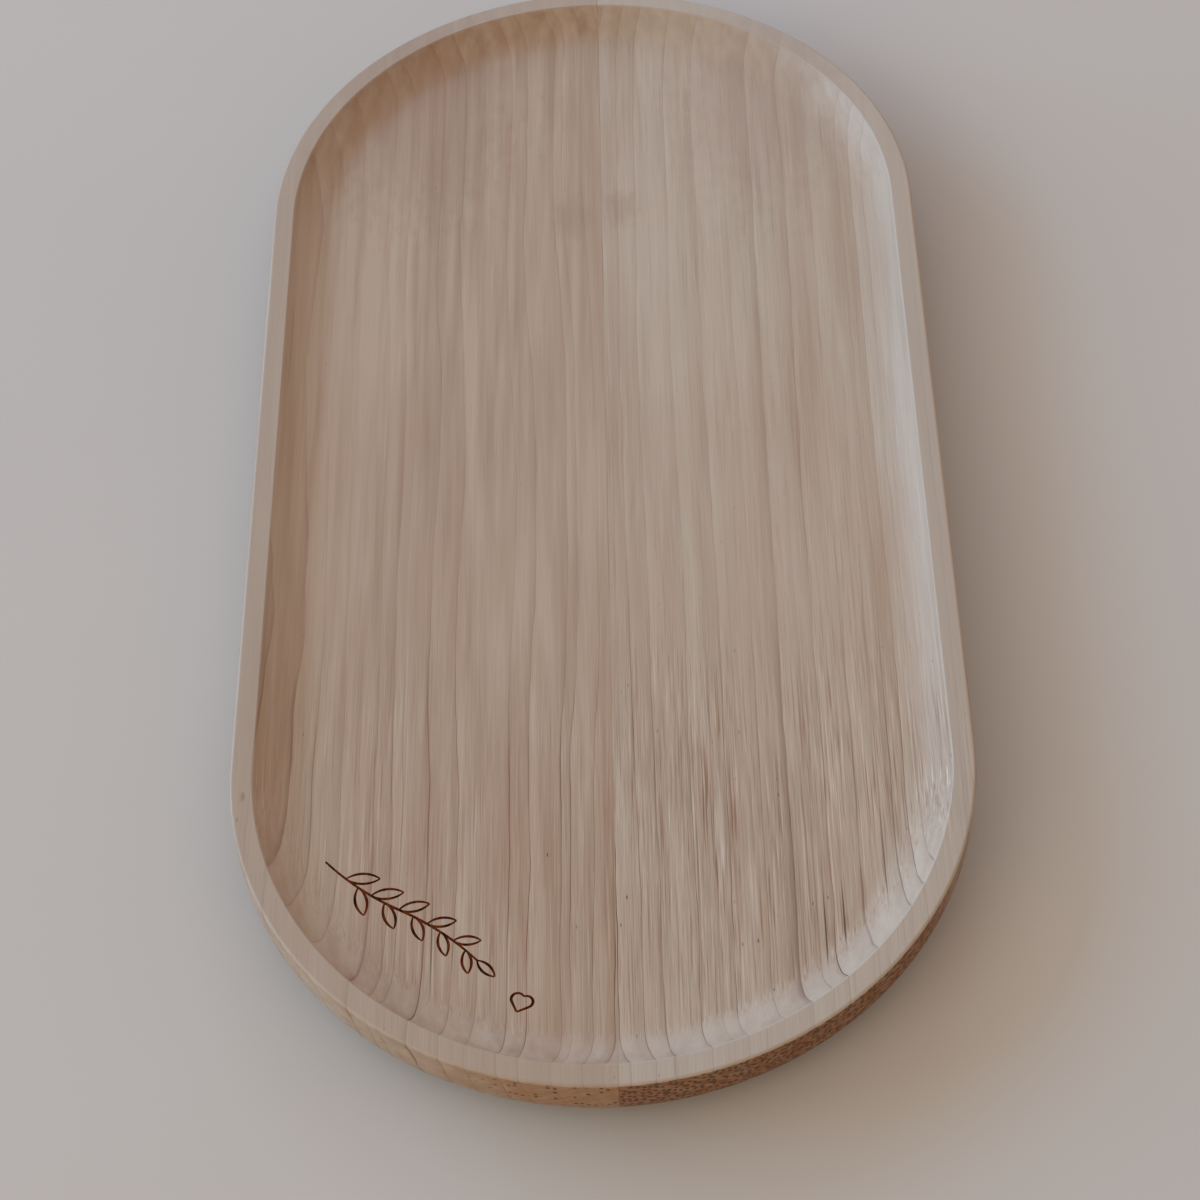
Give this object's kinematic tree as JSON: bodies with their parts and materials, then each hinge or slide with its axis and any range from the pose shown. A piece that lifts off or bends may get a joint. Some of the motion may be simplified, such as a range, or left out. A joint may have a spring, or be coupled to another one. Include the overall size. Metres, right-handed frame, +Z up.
{
  "type": "serving tray",
  "caption": "Shallow wooden serving tray with round ends, a flat rim, a coved recess and a burned leaf mark, made of edge-glued staves.",
  "frame": {"origin": "on the resting face, below the middle of the tray's outline", "axes": "+Z up out of the recess; Y along the length, with the burned mark at the -Y end; +X across the width, towards the stave without the mark"},
  "size_m": [0.14, 0.288, 0.015],
  "materials": {
    "left_stave": "sanded, unvarnished",
    "right_stave": "sanded, unvarnished",
    "glue_line": "cured wood glue"
  },
  "bodies": {
    "root": {"left_stave": "left_stave", "right_stave": "right_stave", "glue_line": "glue_line"}
  },
  "joints": []
}
